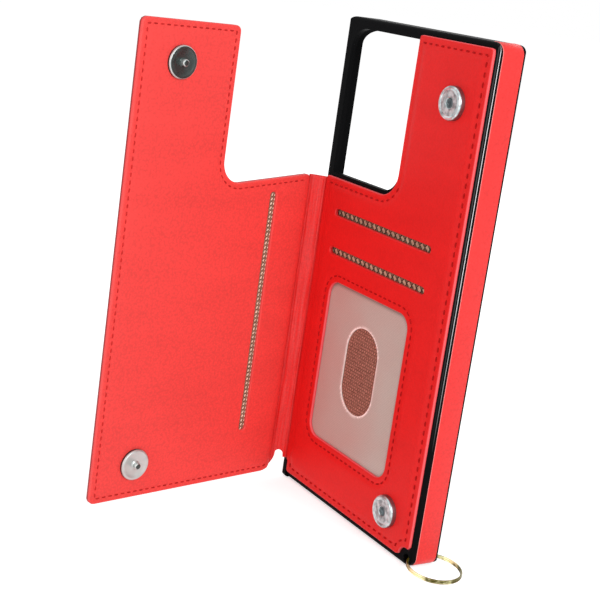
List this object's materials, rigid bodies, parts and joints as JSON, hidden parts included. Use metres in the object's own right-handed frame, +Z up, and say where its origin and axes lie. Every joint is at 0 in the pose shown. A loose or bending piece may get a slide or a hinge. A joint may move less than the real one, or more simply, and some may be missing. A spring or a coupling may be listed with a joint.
{
  "type": "phone wallet case",
  "caption": "Phone case with a moulded tray, a leather card panel with slots and a window on its back, a folding snap flap on a creased spine and a split ring in the corner lug",
  "frame": {"origin": "middle of the tray's lower end face, in the plane that the phone's back lies on", "axes": "+Z up the case, +X across the back away from the fold, +Y out of the tray's open front, so that the leather back faces -Y"},
  "size_m": [0.0972, 0.0981, 0.1691],
  "materials": {
    "tray_tpu": "satin black moulded TPU",
    "panel_leather": "fine grained red leather",
    "flap_leather": "fine grained red leather",
    "spine_leather": "red leather, lightly creased",
    "strip_leather": "smooth red leather",
    "woven_lining": "woven brown twill",
    "window_film": "frosted clear film",
    "snap_chrome": "polished chrome plate",
    "magnet": "plated magnet",
    "rivet_steel": "plain plated steel",
    "flap_board": "pressed fibre board",
    "ring_gold": "pale gold plated wire"
  },
  "bodies": {
    "tray": {"phone_shell": "tray_tpu", "side_strip_open": "strip_leather", "side_strip_fold": "strip_leather", "back_leather": "panel_leather", "slot_lining_upper": "woven_lining", "slot_lining_lower": "woven_lining", "window_film": "window_film", "snap_cap_upper": "snap_chrome", "snap_cap_lower": "snap_chrome", "snap_magnet_upper": "magnet", "snap_magnet_lower": "magnet", "snap_base_upper": "rivet_steel", "snap_base_lower": "rivet_steel", "snap_washer_upper": "rivet_steel", "snap_washer_lower": "rivet_steel"},
    "spine": {"spine_outer_leather": "spine_leather", "spine_inner_leather": "spine_leather"},
    "flap": {"flap_outer_leather": "panel_leather", "flap_board": "flap_board", "flap_inner_leather": "flap_leather", "flap_pocket_lining": "woven_lining", "stud_upper": "snap_chrome", "stud_lower": "snap_chrome", "stud_washer_upper": "rivet_steel", "stud_washer_lower": "rivet_steel"},
    "ring": {"lanyard_ring": "ring_gold"}
  },
  "joints": [
    {"name": "spine_fold", "type": "hinge", "parent": "tray", "child": "spine", "pos_m": [-0.0384, -0.00275, 0.06], "axis": [0, 0, 1], "range_deg": [-55, 40]},
    {"name": "flap_fold", "type": "hinge", "parent": "spine", "child": "flap", "pos_m": [-0.042, -0.00704, 0.06], "axis": [0, 0, 1], "range_deg": [-55, 40]},
    {"name": "ring_swing", "type": "hinge", "parent": "tray", "child": "ring", "pos_m": [0.0373, 0.0035, 0.00269], "axis": [0, 1, 0], "range_deg": [-39, 131]}
  ],
  "couplings": [
    {"joint": "spine_fold", "follows": "flap_fold", "ratio": 1}
  ]
}
